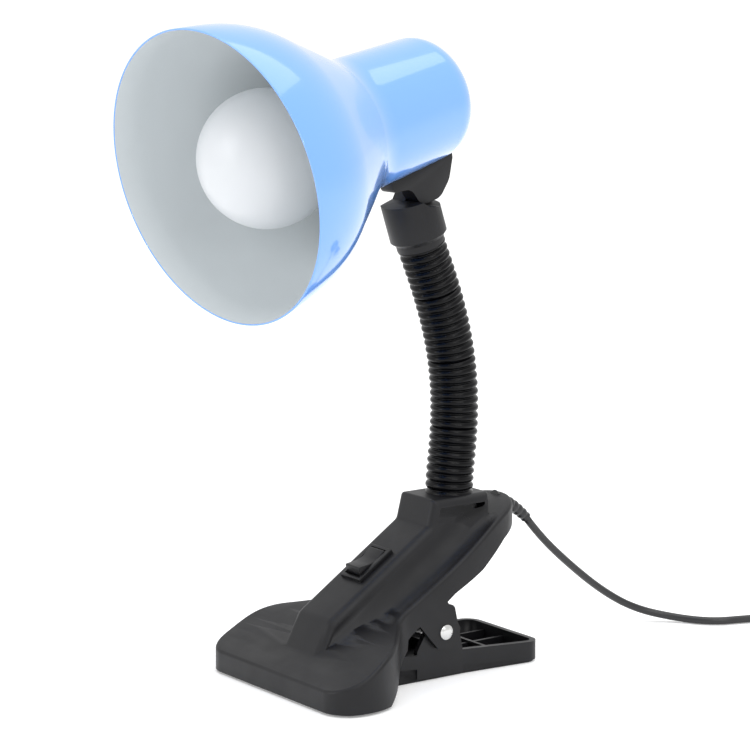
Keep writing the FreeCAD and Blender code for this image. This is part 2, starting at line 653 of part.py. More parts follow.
def neck():
    """Foot with its threaded nipple and nut, then seven links."""
    pitch, outside, ball = size("link_pitch"), size("hose_radius"), size("ball_radius")
    foot_height = size("first_joint") - size("boss_top")
    crest = foot_height - size("link_gap") - size("socket_lip")
    foot = rod(outside, max(crest, 0.4), Vector(), Z_AXIS)
    foot = foot.fuse(rod(ball * 0.8, foot_height, Vector(), Z_AXIS))
    foot = foot.fuse(Part.makeSphere(ball, Vector(0, 0, foot_height)).cut(rod(20, 20, Vector(0, 0, -20), Z_AXIS)))
    foot = foot.fuse(rod(size("nipple_radius"), 12, Vector(0, 0, -12), Z_AXIS)).cut(bore(60, size("wire_bore")))
    stand = Placement(Vector(0, size("neck_y"), size("boss_top")), Rotation())
    shown("neck_foot", foot, stand)
    nut = Part.Face(Part.makePolygon([Vector(8 * math.cos(a), 8 * math.sin(a), 0) for a in
                                      [math.radians(60 * i) for i in range(7)]])).extrude(Vector(0, 0, 4))
    nut = nut.cut(rod(size("nipple_radius"), 10, Vector(0, 0, -1), Z_AXIS))
    shown("neck_nut", nut, Placement(stand.Base - Z_AXIS * (wall + 4), Rotation()))
    for index, (place, heading) in enumerate(neck_joints()[:-1], 1):
        link = socket_piece(pitch).cut(bore(60, size("wire_bore")))
        shown(f"neck_link_{index}", link, upright_frame(place, heading))


def head_frame():
    """Frame of the shade: origin in the mouth, Z to the closed end, Y down."""
    turn = Rotation(Z_AXIS, size("head_yaw")).multiply(Rotation(X_AXIS, -90 + size("head_dip")))
    knuckle = turn.multVec(Vector(0, size("knuckle_drop"), size("knuckle_station")))
    return Placement(knuckle_centre() - knuckle, turn)


def knuckle_centre():
    """Centre of the tilting knuckle, behind and above the last neck joint."""
    last, heading = neck_joints()[-1]
    return upright_frame(last, heading).multVec(Vector(0, 5.6, 25.4))


def knuckle_frame():
    """Frame of the knuckle on the collar side: X along the bolt."""
    turn = Rotation(Z_AXIS, size("head_yaw")).multiply(Rotation(X_AXIS, -COLLAR_HEADING))
    return Placement(knuckle_centre(), turn)


TILT_STOPS = (-40, 20)
TONGUE_TOP = 4.6


def cheek_prism(thick, grow=0.0):
    """The cheek's side outline as a plate beside the knuckle gap, in the head's frame from the knuckle centre."""
    station, drop, barrel = size("knuckle_station"), size("knuckle_drop"), size("barrel_radius")
    side = [(station - 21, barrel - 8, 0), (station - 21, barrel + 3.5, 2), (station - 10.5, barrel + 4.5, 6),
            (station - 6, drop + 6.5, 6), (station + 6, drop + 6.5, 8), (station + 13, drop, 10),
            (station + 17, barrel - 2, 3), (station + 17, barrel - 8, 0)]
    start = size("knuckle_gap") / 2 - grow / 4
    wire = rounded(side, lambda p: Vector(start, p.y - drop, p.x - station))
    if grow:
        wire = wire.makeOffset2D(grow)
    return Part.Face(wire).extrude(Vector(thick, 0, 0))


def collar():
    """Collar round the last ball, with the tongue of the lap knuckle on its far half."""
    radius, length, outside = size("collar_radius"), size("collar_length"), size("hose_radius")
    low = 1.5
    piece = rod(outside, low + 3, Vector(0, 0, -size("socket_lip")), Z_AXIS)
    piece = piece.fuse(Part.makeCone(radius - 2.5, radius, 2.5, Vector(0, 0, low), Z_AXIS))
    piece = piece.fuse(rod(radius, length - 2.5, Vector(0, 0, low + 2.5), Z_AXIS))
    piece = piece.cut(Part.makeSphere(size("ball_radius") + size("ball_clearance")))
    piece = piece.cut(rod(size("wire_bore"), 14, Vector(0, 0, 0), Z_AXIS))
    piece.Placement = upright_frame(*neck_joints()[-1])
    disc, gap = size("knuckle_disc"), size("knuckle_gap") / 2
    tongue_side = [(-12, -14, 0), (12, -14, 0), (12, -7, 4), (TONGUE_TOP, 0, 4), (TONGUE_TOP, TONGUE_TOP, 4.5),
                   (-TONGUE_TOP, TONGUE_TOP, 4.5), (-TONGUE_TOP, 0, 4), (-12, -7, 4)]
    wire = rounded(tongue_side, lambda p: Vector(-gap - disc, p.x, p.y))
    tongue = Part.Face(wire).extrude(Vector(disc, 0, 0))
    tongue.Placement = knuckle_frame()
    room = Part.makeBox(60, 60, 40, Vector(-30, -30, -3.5))
    room.Placement = knuckle_frame()
    far_room = Part.makeBox(40, 60, 40, Vector(-gap - disc - 40, -30, -10))
    far_room.Placement = knuckle_frame()
    piece = piece.cut(room).cut(far_room)
    swept = cheek_prism(30, 0.5)
    for lean in range(TILT_STOPS[0], TILT_STOPS[1] + 1, 6):
        turn = Rotation(Z_AXIS, size("head_yaw")).multiply(Rotation(X_AXIS, lean - 90 + size("head_dip")))
        swept.Placement = Placement(knuckle_centre(), turn)
        piece = piece.cut(swept)
    tongue = tongue.cut(under_tongue())
    return piece.fuse(tongue).cut(bolt_hole(size("knuckle_bolt_radius") + size("pin_clearance")))


def under_tongue():
    """Everything outside the collar's own cylinder below the tongue."""
    tube = rod(60, 30, Vector(0, 0, -5), Z_AXIS).cut(rod(size("collar_radius"), 30, Vector(0, 0, -5), Z_AXIS))
    tube.Placement = upright_frame(*neck_joints()[-1])
    return tube


def bolt_hole(radius):
    hole = rod(radius, 40, Vector(-30, 0, 0), X_AXIS)
    hole.Placement = knuckle_frame()
    return hole


def shade_lines():
    """Outer line of the shade as (radius, station, corner radius), mouth first."""
    mouth, depth, barrel = size("mouth_radius"), size("bell_depth"), size("barrel_radius")
    end, length = size("barrel_end_radius"), size("shade_length")
    return [(mouth, 0, 0), (mouth - 3.8, 26.6, 60), (barrel + 0.2, depth - 4, 27), (end, length, size("shade_end_round"))]


def shade():
    """Bell and barrel in one thin pressing, open at the mouth."""
    mouth, length, thin = size("mouth_radius"), size("shade_length"), size("shade_wall")
    line = shade_lines()
    outer = rounded([(-20, 0, 0)] + line + [(-20, length, 0)], lambda p: Vector(p.x, 0, p.y))
    flare = (mouth - line[1][0]) / line[1][1]
    ahead = [(-20, -40, 0), (mouth + 40 * flare, -40, 0)]
    inner = rounded(ahead + line[1:] + [(-20, length, 0)], lambda p: Vector(p.x, 0, p.y))
    inner = Part.Face(inner.makeOffset2D(-thin))
    section = Part.Face(outer).cut(inner)
    half = Part.makeBox(200, 1, 400, Vector(0, -0.5, -100))
    section = section.common(half)
    piece = section.revolve(Vector(), Z_AXIS, 360)
    return piece.Solids[0] if piece.Solids else piece


def head():
    frame = head_frame()
    station, drop = size("knuckle_station"), size("knuckle_drop")
    shell = shade()
    spots = [station - 10, station + 8]
    for z in spots:
        shell = shell.cut(rod(1.6, 20, Vector(4.5, 20, z), Y_AXIS))
    shown("shade", shell, frame)
    disc, gap = size("knuckle_disc"), size("knuckle_gap") / 2
    cheek = cheek_prism(disc)
    cheek.translate(Vector(0, drop, station))
    cheek = cheek.cut(shade_body())
    cheek = cheek.cut(rod(size("knuckle_bolt_radius"), 6, Vector(0, drop, station), X_AXIS))
    nut_room = hex_prism(4.6, 2.6, Vector(3.4, drop, station))
    cheek = cheek.cut(nut_room)
    for z in spots:
        cheek = cheek.cut(rod(1.5, 9, Vector(4.5, 24, z), Y_AXIS))
    shown("knuckle_cheek", cheek, frame)
    nut = nut_room.cut(rod(size("knuckle_bolt_radius"), 20, Vector(-5, drop, station), X_AXIS))
    shown("knuckle_nut", nut, frame)
    bolt = [(0, -3.0), (3.2, -3.0), (4.4, -1.6), (4.4, 0), ("knuckle_bolt_radius", 0), ("knuckle_bolt_radius", 14.0),
            (0, 14.0)]
    seat = frame.multVec(Vector(-gap - disc, drop, station))
    turned("knuckle_bolt", bolt, Placement(seat, frame.Rotation.multiply(Rotation(Y_AXIS, 90))))
    screws = [rod(1.5, 12, Vector(4.5, 20.5, z), Y_AXIS).fuse(rod(2.6, 1.6, Vector(4.5, 18.9, z), Y_AXIS))
              for z in spots]
    shown("cheek_screws", Part.makeCompound(screws), frame)
    lampholder(frame, spots)
    bulb(frame)


def hex_prism(radius, length, start):
    corners = [start + Vector(0, radius * math.cos(math.radians(60 * i)), radius * math.sin(math.radians(60 * i)))
               for i in range(7)]
    return Part.Face(Part.makePolygon(corners)).extrude(Vector(length, 0, 0))


def shade_body():
    """Filled body of the shade, to seat pieces against its outside."""
    line = shade_lines()
    wire = rounded([(0, -1, 0)] + [(line[0][0], -1, 0)] + line + [(0, line[-1][1], 0)], lambda p: Vector(p.x, 0, p.y))
    return Part.Face(wire).revolve(Vector(), Z_AXIS, 360)


def lampholder(frame, spots):
    """Screw lampholder: moulded body with a foot, threaded sleeve, centre contact and side terminals."""
    sleeve = size("cap_radius") + size("cap_clearance")
    bore_radius, end = sleeve + 0.5, size("bulb_length") - 0.2
    outside = bore_radius + size("holder_wall")
    front, back = end - size("cap_length") + 0.6, end + 10
    body = rod(outside, back - front, Vector(0, 0, front), Z_AXIS)
    foot = Part.makeBox(13, 20, 26, Vector(-3, 7, spots[0] - 4))
    inside = rod(size("barrel_radius") - 4.2, 60, Vector(0, 0, 80), Z_AXIS)
    body = body.fuse(foot.common(inside)).cut(rod(bore_radius, end - front + 2, Vector(0, 0, front), Z_AXIS))
    body = body.cut(rod(1.0, 20, Vector(0, 0, end), Z_AXIS))
    for z in spots:
        body = body.cut(rod(2.7, 2.0, Vector(4.5, 18.6, z), Y_AXIS)).cut(rod(1.5, 20, Vector(4.5, 20, z), Y_AXIS))
    shown("lampholder_body", body, frame)
    tube = [(sleeve, front + 1), (bore_radius, front + 1), (bore_radius, end - 1), (sleeve, end - 1)]
    turned("lampholder_sleeve", [(u, v) for u, v in tube], frame)
    contact = [(0, end + 0.15), (4.5, end + 0.15), (4.5, end + 0.75), (1.0, end + 0.75), (1.0, end + 11), (0, end + 11)]
    turned("lampholder_contact", contact, frame)
    ends = [rod(2.2, 3, Vector(x, 0, back), Z_AXIS).cut(Part.makeBox(5, 0.7, 1, Vector(x - 2.5, -0.35, back + 2)))
            for x in (-7, 7)]
    shown("lampholder_terminals", Part.makeCompound(ends), frame)


def bulb(frame):
    """Globe bulb: opal dome, plastic body, screw cap, insulator, centre contact and its lit board."""
    radius, centre, thin = size("bulb_radius"), size("bulb_station"), 1.2
    seam = centre + 0.52 * radius
    seam_radius = math.sqrt(radius ** 2 - (seam - centre) ** 2)
    dome = Part.makeSphere(radius, Vector(0, 0, centre)).cut(Part.makeSphere(radius - thin, Vector(0, 0, centre)))
    dome = dome.cut(rod(80, 80, Vector(0, 0, seam), Z_AXIS))
    shown("bulb_dome", dome, frame)
    end = size("bulb_length") - 0.2
    cap_front, cap, cap_core = end - size("cap_length"), size("cap_radius"), size("cap_radius") - 0.7
    body = [(seam_radius - 2.5, seam + 2), (seam_radius, seam), (seam_radius - 2.2, seam + 9), (16.5, cap_front - 9),
            (13.6, cap_front), (cap_core - 1.2, cap_front), (cap_core - 1.2, cap_front - 2), (14.6, cap_front - 10),
            (seam_radius - 4.2, seam + 9)]
    turned("bulb_housing", body, frame)
    ridges = [(cap_core - 0.6, cap_front), (cap_core, cap_front)]
    for turn in range(5):
        z = cap_front + 3 + 3.2 * turn
        ridges += [(cap_core, z), (cap, z + 0.9), (cap, z + 1.5), (cap_core, z + 2.4)]
    tip = end - 3.4
    ridges += [(cap_core, tip), (cap_core - 0.6, tip)]
    turned("bulb_cap", ridges, frame)
    turned("bulb_insulator", [(0, tip), (cap_core - 0.6, tip), (cap_core - 0.6, tip + 0.4), (5, end - 0.8), (0, end - 0.8)],
           frame)
    turned("bulb_contact", [(0, end - 0.8), (4.6, end - 0.8), (4.0, end), (0, end)], frame)
    turned("bulb_board", [(0, seam + 2), (seam_radius - 3.2, seam + 2), (seam_radius - 3.2, seam + 3.6), (0, seam + 3.6)],
           frame)
    driver = Part.makeBox(16, 1.6, 22, Vector(-8, -0.8, seam + 3.6))
    shown("bulb_driver", driver, frame)


def clip_hinge_group():
    hinge_pin()
    coil, legs = torsion_spring()
    shown("torsion_spring", coil.multiFuse(legs))


def main():
    shown("clip_upper_shell", upper_shell())
    shown("clip_lower_shell", lower_shell())
    jaw_pads()
    clip_hinge_group()
    housing_cover()
    rocker_switch()
    strain_relief()
    neck()
    shown("collar", collar())
    head()
    supply_cord()


def write_parts():
    doc.recompute()
    for item in doc.Objects:
        if "Invalid" in item.State or "Error" in item.State:
            raise RuntimeError(f"{item.Label} failed: {item.State}")
    os.makedirs("parts", exist_ok=True)
    for item in parts:
        shape = item.Shape
        if shape.isNull() or not shape.isValid():
            raise RuntimeError(f"{item.Label} has no valid shape")
        shape.exportStep(f"parts/{item.Label}.step")
        print(item.Label, len(shape.Solids), round(shape.Volume))


main()
write_parts()
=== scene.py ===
"""Looks of the clip-on reading lamp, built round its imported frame.

Metres, +Z up, in the frame's own axes: -Y points to the jaw, +Y to the handles and the cord.
"""
import json
import math

import bmesh
import bpy
from mathutils import Matrix, Vector


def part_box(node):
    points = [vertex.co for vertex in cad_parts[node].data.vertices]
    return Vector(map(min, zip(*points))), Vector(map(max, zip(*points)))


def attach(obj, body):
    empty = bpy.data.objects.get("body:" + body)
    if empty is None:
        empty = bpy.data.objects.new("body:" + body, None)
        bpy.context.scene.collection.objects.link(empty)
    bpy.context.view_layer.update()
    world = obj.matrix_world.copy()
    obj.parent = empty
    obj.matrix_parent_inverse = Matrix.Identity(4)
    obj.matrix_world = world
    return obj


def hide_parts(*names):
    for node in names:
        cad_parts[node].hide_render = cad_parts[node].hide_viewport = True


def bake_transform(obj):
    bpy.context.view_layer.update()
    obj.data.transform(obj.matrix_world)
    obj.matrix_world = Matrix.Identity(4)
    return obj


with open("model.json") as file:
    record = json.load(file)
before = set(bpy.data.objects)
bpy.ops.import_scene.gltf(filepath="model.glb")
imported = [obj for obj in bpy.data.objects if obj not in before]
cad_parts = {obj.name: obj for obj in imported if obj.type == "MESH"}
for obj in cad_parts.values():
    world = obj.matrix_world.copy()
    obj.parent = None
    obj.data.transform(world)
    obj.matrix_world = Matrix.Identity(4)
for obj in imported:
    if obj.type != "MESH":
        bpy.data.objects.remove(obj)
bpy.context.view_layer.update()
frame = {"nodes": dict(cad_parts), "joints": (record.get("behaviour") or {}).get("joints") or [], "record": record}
NODES = frame["nodes"]
JOINTS = {joint["name"]: joint for joint in frame["joints"]}
MM = 0.001

KNUCKLE_STATION, KNUCKLE_DROP = 111.5 * MM, 37.0 * MM
SHADE_WALL = 0.8 * MM
# Outer line of the shade as (radius, station, corner radius) in millimetres, mouth first.
SHADE_LINE = [(64.8, 0, 0), (61.0, 26.6, 60), (30.2, 73.5, 27), (27.4, 133.5, 13.6), (0, 133.5, 0)]
GLOBE_RADIUS, GLOBE_STATION, GLOBE_WALL = 30.0 * MM, 29.8 * MM, 1.2 * MM
GLOBE_SEAM = 0.52
COLLAR_LEAN = math.radians(18)
HOSE_RADIUS, HOSE_RIB = 11.0 * MM, 1.3 * MM


# ---------------------------------------------------------------- camera, floor and light

def look_at(place, target):
    """Turn that points an object's -Z axis from place to target, with +Y up."""
    return (Vector(target) - Vector(place)).to_track_quat("-Z", "Y").to_euler()


def camera():
    place, target = (1.1128, -0.8139, 0.37998), (-0.00394, -0.00544, 0.13602)
    data = bpy.data.cameras.new("camera")
    data.lens, data.sensor_width = 150.9, 36.0
    eye = bpy.data.objects.new("camera", data)
    eye.location, eye.rotation_euler = place, look_at(place, target)
    bpy.context.scene.collection.objects.link(eye)
    bpy.context.scene.camera = eye


def softbox(name, place, target, width, height, power):
    data = bpy.data.lights.new(name, "AREA")
    data.shape, data.size, data.size_y, data.energy = "RECTANGLE", width, height, power
    lamp = bpy.data.objects.new(name, data)
    lamp.location, lamp.rotation_euler = place, look_at(place, target)
    bpy.context.scene.collection.objects.link(lamp)


def studio():
    middle = (0, 0, 0.15)
    softbox("overhead", (0.1, 0.1, 1.9), middle, 2.0, 2.0, 18)
    softbox("jaw_side", (-0.5, -2.1, 0.9), middle, 1.2, 1.0, 10)
    softbox("upper_strip", (1.15, -0.2, 1.12), (0, 0, 0.25), 0.9, 0.02, 2.0)
    softbox("lower_strip", (1.42, -0.25, 0.72), (0, 0, 0.25), 0.9, 0.02, 2.6)
    world = bpy.data.worlds.new("studio")
    world.use_nodes = True
    sky = world.node_tree.nodes["Background"].inputs
    sky["Color"].default_value, sky["Strength"].default_value = (1.0, 1.0, 1.0, 1), 1.0
    bpy.context.scene.world = world
    bpy.context.scene.view_settings.view_transform = "Standard"


# ---------------------------------------------------------------- node trees

def add(tree, kind, wires=(), output=0, **settings):
    """Adds a node, sets it up, wires its inputs to values or sockets, and returns one of its outputs."""
    node = tree.nodes.new(kind)
    for setting, value in settings.items():
        setattr(node, setting, value)
    for socket, source in dict(wires).items():
        if isinstance(source, bpy.types.NodeSocket):
            tree.links.new(source, node.inputs[socket])
        else:
            node.inputs[socket].default_value = source
    return node.outputs[output]


def maths(tree, operation, first, second=0.0):
    return add(tree, "ShaderNodeMath", {0: first, 1: second}, operation=operation)


def finish(name, colour, roughness, **own):
    """A material whose even values sit on the shader's own sockets."""
    material = bpy.data.materials.new(name)
    material.use_nodes = True
    shader = material.node_tree.nodes["Principled BSDF"]
    shader.inputs["Base Color"].default_value = (*colour, 1)
    shader.inputs["Roughness"].default_value = roughness
    for socket, value in own.items():
        shader.inputs[socket.replace("_", " ")].default_value = value
    return material


def place_on(tree):
    return add(tree, "ShaderNodeTexCoord", output="Object")


def noise(tree, per_metre, detail=3.0):
    return add(tree, "ShaderNodeTexNoise", {"Vector": place_on(tree), "Scale": per_metre, "Detail": detail})


def spread(tree, value, low, high, start=0.3, end=0.7):
    """Maps a value's range from start to end onto low to high."""
    return add(tree, "ShaderNodeMapRange",
               {"Value": value, "From Min": start, "From Max": end, "To Min": low, "To Max": high})


def wire_up(material, socket, source):
    shader = material.node_tree.nodes["Principled BSDF"]
    material.node_tree.links.new(source, shader.inputs[socket])


def grain(material, per_metre, height, low, high, patches=60.0):
    """Fine surface grain in the bump, and slow patches of gloss between low and high roughness."""
    tree = material.node_tree
    bump = add(tree, "ShaderNodeBump",
               {"Height": noise(tree, per_metre), "Distance": height, "Strength": 0.6})
    wire_up(material, "Normal", bump)
    wire_up(material, "Roughness", spread(tree, noise(tree, patches), low, high))
    return material


def two_tone(material, per_metre, first, second):
    """Colour that drifts between two tones."""
    tree = material.node_tree
    mix = add(tree, "ShaderNodeMix", {"Factor": spread(tree, noise(tree, per_metre), 0, 1),
                                      "A": (*first, 1), "B": (*second, 1)}, output=2, data_type="RGBA")
    for socket in tree.nodes[-1].inputs:
        if socket.type == "RGBA":
            socket.default_value = (*(first if socket.name == "A" else second), 1)
    wire_up(material, "Base Color", mix)
    return material


def finishes():
    abs_plastic = grain(finish("satin_black_abs", (0.006, 0.006, 0.007), 0.42, Specular_IOR_Level=0.3),
                        1500, 0.00006, 0.36, 0.5)
    two_tone(abs_plastic, 35, (0.004, 0.004, 0.005), (0.008, 0.008, 0.0095))
    nylon = grain(finish("switch_nylon", (0.004, 0.004, 0.005), 0.38, Specular_IOR_Level=0.3),
                  2600, 0.00003, 0.34, 0.44)
    hose = grain(finish("hose_pvc", (0.001, 0.001, 0.0015), 0.2, Specular_IOR_Level=0.16),
                 700, 0.00003, 0.16, 0.26)
    enamel = finish("light_blue_enamel", (0.16, 0.36, 0.86), 0.16, Coat_Weight=0.8, Coat_Roughness=0.03)
    grain(enamel, 320, 0.000012, 0.12, 0.2)
    inner = grain(finish("white_satin_coat", (0.56, 0.60, 0.62), 0.4), 900, 0.00002, 0.34, 0.46)
    opal = finish("opal_dome", (0.66, 0.69, 0.72), 0.32, Subsurface_Weight=0.35,
                  Subsurface_Scale=0.01, Subsurface_Radius=(1.0, 1.0, 0.95))
    grain(opal, 400, 0.00001, 0.28, 0.36)
    white = grain(finish("bulb_white", (0.86, 0.86, 0.85), 0.34), 900, 0.00002, 0.3, 0.4)
    rubber = grain(finish("pad_rubber", (0.016, 0.016, 0.016), 0.7), 1800, 0.0001, 0.62, 0.8)
    cord = grain(finish("cord_pvc", (0.012, 0.012, 0.013), 0.3), 500, 0.00003, 0.26, 0.4)
    steel = grain(finish("bright_steel", (0.62, 0.62, 0.61), 0.24, Metallic=1.0), 2200, 0.00002, 0.18, 0.34)
    spring = grain(finish("spring_steel", (0.3, 0.3, 0.3), 0.34, Metallic=1.0), 1800, 0.00002, 0.28, 0.42)
    brass = grain(finish("contact_brass", (0.74, 0.52, 0.22), 0.28, Metallic=1.0), 1500, 0.00002, 0.2, 0.36)
    plating = grain(finish("cap_plating", (0.7, 0.69, 0.66), 0.28, Metallic=1.0), 1200, 0.00002, 0.22, 0.36)
    glass = grain(finish("black_glass", (0.01, 0.01, 0.011), 0.12), 800, 0.00001, 0.1, 0.16)
    board = grain(finish("board_coat", (0.8, 0.82, 0.8), 0.5), 900, 0.00002, 0.45, 0.55)
    resin = grain(finish("driver_board", (0.05, 0.2, 0.09), 0.45), 900, 0.00003, 0.4, 0.5)
    return dict(black_plastic=abs_plastic, switch_plastic=nylon, soft_pad=rubber, shade_metal=enamel,
                shade_inside=inner, hose_plastic=hose, bright_steel=steel, spring_steel=spring,
                brass_contact=brass, opal_dome=opal, white_plastic=white, cap_metal=plating,
                black_glass=glass, board_metal=board, driver_resin=resin, cord_pvc=cord)


# ---------------------------------------------------------------- mesh helpers

def piece(name, mesh, material, stands_for=()):
    """A finished piece at the origin, in its material, standing for CAD nodes."""
    item = bpy.data.objects.new(name, mesh)
    bpy.context.scene.collection.objects.link(item)
    if mesh.materials:
        mesh.materials[0] = material
    else:
        mesh.materials.append(material)
    if stands_for:
        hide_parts(*stands_for)
    return item


def baked(item):
    """Turns an object with live modifiers into one with a plain mesh."""
    bpy.context.view_layer.update()
    seen = item.evaluated_get(bpy.context.evaluated_depsgraph_get())
    mesh = bpy.data.meshes.new_from_object(seen)
    mesh.name = item.name
    return mesh


def corner_arc(before, here, after, radius, steps=10):
    """Points of the arc that rounds one corner of a plane outline."""
    a, b = (before - here), (after - here)
    half = a.angle(b) / 2
    reach = radius / math.tan(half)
    middle = here + (a.normalized() + b.normalized()).normalized() * (radius / math.sin(half))
    start, end = here + a.normalized() * reach, here + b.normalized() * reach
    first, last = start - middle, end - middle
    turn = first.angle_signed(last)
    return [middle + Matrix.Rotation(-turn * i / steps, 2) @ first for i in range(steps + 1)]


def rounded_line(corners, steps=10):
    """Plane outline from (radius, station, corner radius) corners."""
    points = [Vector(c[:2]) for c in corners]
    line = [points[0]]
    for i in range(1, len(points) - 1):
        if corners[i][2]:
            line += corner_arc(points[i - 1], points[i], points[i + 1], corners[i][2], steps)
        else:
            line.append(points[i])
    return line + [points[-1]]


def spun(name, outlines, place, sides=160):
    """Surface of revolution about place's Z: outlines are lists of (radius, station), one material each."""
    shape = bmesh.new()
    previous = None
    for index, outline in enumerate(outlines):
        for point in outline:
            if previous is not None and (point - previous[0]).length < 1e-7:
                continue
            if point.x < 1e-6:
                ring = [shape.verts.new((0, 0, point.y))]
            else:
                ring = [shape.verts.new((point.x * math.cos(t), point.x * math.sin(t), point.y))
                        for t in (math.tau * i / sides for i in range(sides))]
            if previous is not None:
                joined(shape, previous[1], ring, index, sides)
            previous = (point, ring)
    bmesh.ops.recalc_face_normals(shape, faces=shape.faces)
    for face in shape.faces:
        face.smooth = True
    mesh = bpy.data.meshes.new(name)
    shape.to_mesh(mesh)
    shape.free()
    mesh.transform(place)
    return mesh


def joined(shape, below, above, index, sides):
    """Faces between two rings, either of which may be a single pole."""
    for i in range(sides):
        j = (i + 1) % sides
        if len(below) == 1:
            corners = (below[0], above[j], above[i])
        elif len(above) == 1:
            corners = (below[i], below[j], above[0])
        else:
            corners = (below[i], below[j], above[j], above[i])
        shape.faces.new(corners).material_index = index


def dressed(node, material, edge=0.0, angle=34.0, name=None):
    """A CAD node's own shape with shared vertices, soft edges and its finish, standing for the node."""
    mesh = NODES[node].data.copy()
    shape = bmesh.new()
    shape.from_mesh(mesh)
    bmesh.ops.remove_doubles(shape, verts=shape.verts, dist=2e-6)
    bmesh.ops.dissolve_limit(shape, angle_limit=math.radians(1.0), verts=shape.verts, edges=shape.edges)
    shape.to_mesh(mesh)
    shape.free()
    item = piece(name or node + "_finished", mesh, material, (node,))
    if edge:
        bevel = item.modifiers.new("edge", "BEVEL")
        bevel.width, bevel.segments, bevel.limit_method = edge, 3, "ANGLE"
        bevel.angle_limit = math.radians(angle)
        bevel.use_clamp_overlap = True
        item.data = baked(item)
        item.modifiers.clear()
        item.data.materials.clear()
        item.data.materials.append(material)
    item.data.shade_smooth()
    item.data.set_sharp_from_angle(angle=math.radians(angle))
    return item


# ---------------------------------------------------------------- head

def head_axes():
    """Place of the shade: origin in its mouth, Z to its closed end, Y down."""
    tilt, beam = JOINTS["head_tilt"], Vector(JOINTS["bulb_unscrew"]["axis"])
    across, along = Vector(tilt["axis"]), -beam
    down = along.cross(across)
    mouth = Vector(tilt["pos_m"]) - along * KNUCKLE_STATION - down * KNUCKLE_DROP
    turn = Matrix((across, down, along)).transposed().to_4x4()
    return Matrix.Translation(mouth) @ turn


def shade(paints):
    """Pressed bell and barrel: enamel outside, white inside, with a rolled edge at the mouth."""
    wall = SHADE_WALL
    outside = rounded_line([tuple(v * MM for v in corner) for corner in SHADE_LINE], 14)
    normals = []
    for i, point in enumerate(outside):
        ahead = outside[min(i + 1, len(outside) - 1)] - outside[max(i - 1, 0)]
        normals.append(Vector((ahead.y, -ahead.x)).normalized())
    inside = [p - n * wall for p, n in zip(outside, normals)]
    inside[-1] = Vector((0, outside[-1].y - wall))
    lip = [outside[0] - normals[0] * (wall / 2 - wall / 2 * math.cos(t)) + Vector((0, -math.sin(t) * wall / 2))
           for t in (math.pi * i / 6 for i in range(7))]
    line = [outside[::-1] + lip[1:], inside]
    mesh = spun("shade_pressing", line, head_axes(), 192)
    mesh.materials.append(paints["shade_metal"])
    mesh.materials.append(paints["shade_inside"])
    item = piece("shade_pressing", mesh, paints["shade_metal"], ("shade",))
    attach(item, "head")


def bulb(paints):
    """Opal globe with the seam where it meets its white body."""
    radius, centre = GLOBE_RADIUS, GLOBE_STATION
    seam = math.asin(GLOBE_SEAM)
    steps = 40
    outer = [Vector((radius * math.cos(t), centre + radius * math.sin(t)))
             for t in (-math.pi / 2 + (seam + math.pi / 2) * i / steps for i in range(steps + 1))]
    outer[0].x = 0
    thin = GLOBE_WALL
    inner = [Vector((p.x * (1 - thin / radius), centre + (p.y - centre) * (1 - thin / radius)))
             for p in reversed(outer)]
    mesh = spun("opal_globe", [outer + inner], head_axes(), 128)
    item = piece("opal_globe", mesh, paints["opal_dome"], ("bulb_dome",))
    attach(item, "bulb")


# ---------------------------------------------------------------- neck hose

